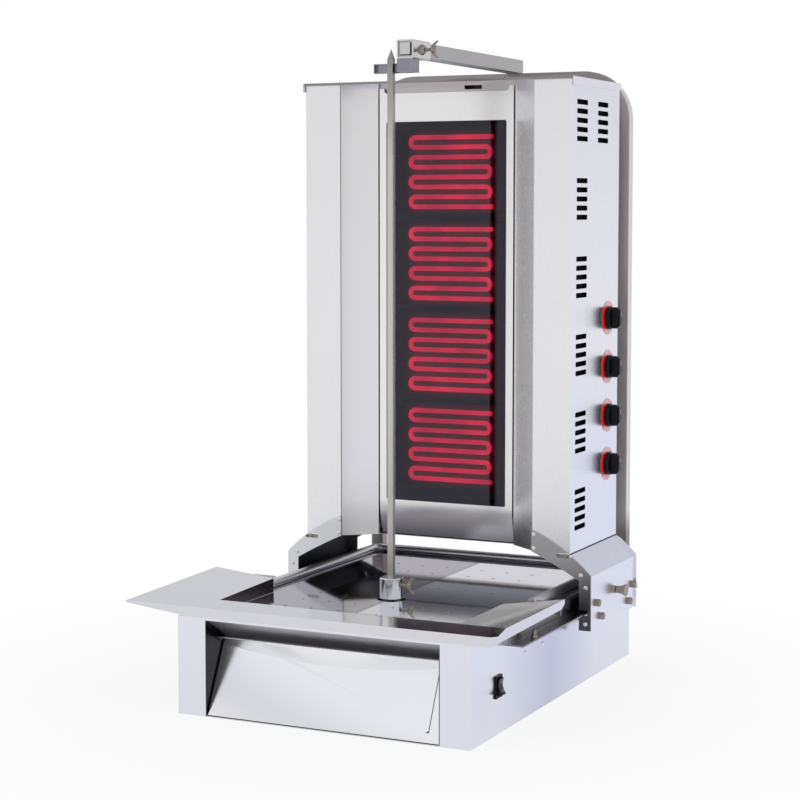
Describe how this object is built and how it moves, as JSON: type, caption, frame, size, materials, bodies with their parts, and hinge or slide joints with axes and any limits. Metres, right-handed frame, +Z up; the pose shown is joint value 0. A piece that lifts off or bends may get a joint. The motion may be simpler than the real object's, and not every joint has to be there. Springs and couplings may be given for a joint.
{
  "type": "doner kebab grill",
  "caption": "Upright electric broiler for stacked meat: a turning square spindle before a tall glowing glass heater that slides on a drawer base, with a tray and a steadying arm.",
  "frame": {"origin": "where the spindle's axis meets the worktop that the base stands on", "axes": "+X to the operator's right, towards the knobs; +Y to the rear; +Z up along the spindle"},
  "size_m": [0.656, 0.764, 1.0968],
  "materials": {
    "satin_steel": "fine brushed stainless sheet",
    "polished_steel": "mirror polished stainless sheet",
    "bare_steel": "cut stainless plate, satin",
    "spindle_steel": "drawn square bar, satin",
    "hub_chrome": "turned and polished",
    "fastener_steel": "bright zinc and nickel",
    "motor_casing": "grey casting",
    "black_plastic": "satin moulded black",
    "regulator_plastic": "cream moulded",
    "red_enamel": "gloss red enamel",
    "ceramic_glass": "dark tinted ceramic glass",
    "hot_element": "red hot metal sheathed element",
    "insulation_board": "pale fibre board"
  },
  "bodies": {
    "base": {"base_fasteners": "fastener_steel", "base_floor": "satin_steel", "base_shell": "satin_steel", "bearing_block": "motor_casing", "cable_gland": "black_plastic", "drawer_runners": "bare_steel", "front_cove": "satin_steel", "gear_motor": "motor_casing", "motor_bridge": "bare_steel", "pan_left": "polished_steel", "pan_right": "polished_steel", "rail_end_plates": "satin_steel", "rear_frame": "satin_steel", "slide_angle_left": "bare_steel", "slide_angle_right": "bare_steel", "support_arm": "satin_steel", "switch_frame": "black_plastic", "tray": "polished_steel", "u_rail": "satin_steel"},
    "rocker": {"switch_rocker": "black_plastic"},
    "drawer": {"drawer_pan": "satin_steel", "drawer_front": "satin_steel"},
    "hub": {"hub": "hub_chrome", "drive_shaft": "bare_steel"},
    "hub_wing_bolt": {"hub_wing_bolt": "fastener_steel"},
    "spindle": {"spindle": "spindle_steel"},
    "sleeve": {"sleeve": "satin_steel", "sleeve_nut": "fastener_steel", "spindle_guide": "satin_steel"},
    "sleeve_wing_bolt": {"sleeve_wing_bolt": "fastener_steel"},
    "clamp_knob": {"clamp_knob": "fastener_steel"},
    "carriage": {"side_wall_left": "satin_steel", "side_wall_right": "satin_steel", "reflector_left": "polished_steel", "reflector_right": "polished_steel", "heater_panel": "satin_steel", "glass_panel": "ceramic_glass", "heating_coil_1": "hot_element", "heating_coil_2": "hot_element", "heating_coil_3": "hot_element", "heating_coil_4": "hot_element", "insulation_trays": "insulation_board", "element_carrier": "bare_steel", "housing_back": "satin_steel", "housing_floor": "satin_steel", "top_cover": "satin_steel", "energy_regulators": "regulator_plastic", "knob_discs": "red_enamel", "bracket_left": "bare_steel", "bracket_right": "bare_steel", "rear_brackets": "bare_steel", "side_cover_left": "satin_steel", "side_cover_right": "satin_steel", "glide_pads": "black_plastic", "dome_nuts": "fastener_steel", "bracket_screws": "fastener_steel"},
    "knob_1": {"knob_1": "black_plastic"},
    "knob_2": {"knob_2": "black_plastic"},
    "knob_3": {"knob_3": "black_plastic"},
    "knob_4": {"knob_4": "black_plastic"}
  },
  "joints": [
    {"name": "hub_spin", "type": "hinge", "parent": "base", "child": "hub", "pos_m": [0, 0, 0.18], "axis": [0, 0, 1], "continuous": true},
    {"name": "spindle_lift", "type": "slide", "parent": "hub", "child": "spindle", "axis": [0, 0, 1], "range_m": [0, 0.03]},
    {"name": "hub_wing_bolt_turn", "type": "hinge", "parent": "hub", "child": "hub_wing_bolt", "pos_m": [0.03, 0, 0.19], "axis": [1, 0, 0], "range_deg": [0, 270]},
    {"name": "carriage_slide", "type": "slide", "parent": "base", "child": "carriage", "axis": [0, -1, 0], "range_m": [0, 0.125]},
    {"name": "drawer_slide", "type": "slide", "parent": "base", "child": "drawer", "axis": [0, -1, 0], "range_m": [0, 0.4]},
    {"name": "switch_press", "type": "hinge", "parent": "base", "child": "rocker", "pos_m": [0.2615, -0.154, 0.0765], "axis": [0, 1, 0], "range_deg": [0, 16]},
    {"name": "sleeve_slide", "type": "slide", "parent": "base", "child": "sleeve", "axis": [0, 1, 0], "range_m": [0, 0.3]},
    {"name": "sleeve_wing_bolt_turn", "type": "hinge", "parent": "sleeve", "child": "sleeve_wing_bolt", "pos_m": [0.06, 0.019, 1.0815], "axis": [1, 0, 0], "range_deg": [0, 270]},
    {"name": "clamp_knob_turn", "type": "hinge", "parent": "carriage", "child": "clamp_knob", "pos_m": [0.295, 0.311, 0.151], "axis": [1, 0, 0], "range_deg": [0, 270]},
    {"name": "knob_1_turn", "type": "hinge", "parent": "carriage", "child": "knob_1", "pos_m": [0.26, 0.355, 0.3678], "axis": [1, 0, 0], "range_deg": [0, 300]},
    {"name": "knob_2_turn", "type": "hinge", "parent": "carriage", "child": "knob_2", "pos_m": [0.26, 0.355, 0.4544], "axis": [1, 0, 0], "range_deg": [0, 300]},
    {"name": "knob_3_turn", "type": "hinge", "parent": "carriage", "child": "knob_3", "pos_m": [0.26, 0.355, 0.541], "axis": [1, 0, 0], "range_deg": [0, 300]},
    {"name": "knob_4_turn", "type": "hinge", "parent": "carriage", "child": "knob_4", "pos_m": [0.26, 0.355, 0.6276], "axis": [1, 0, 0], "range_deg": [0, 300]}
  ]
}
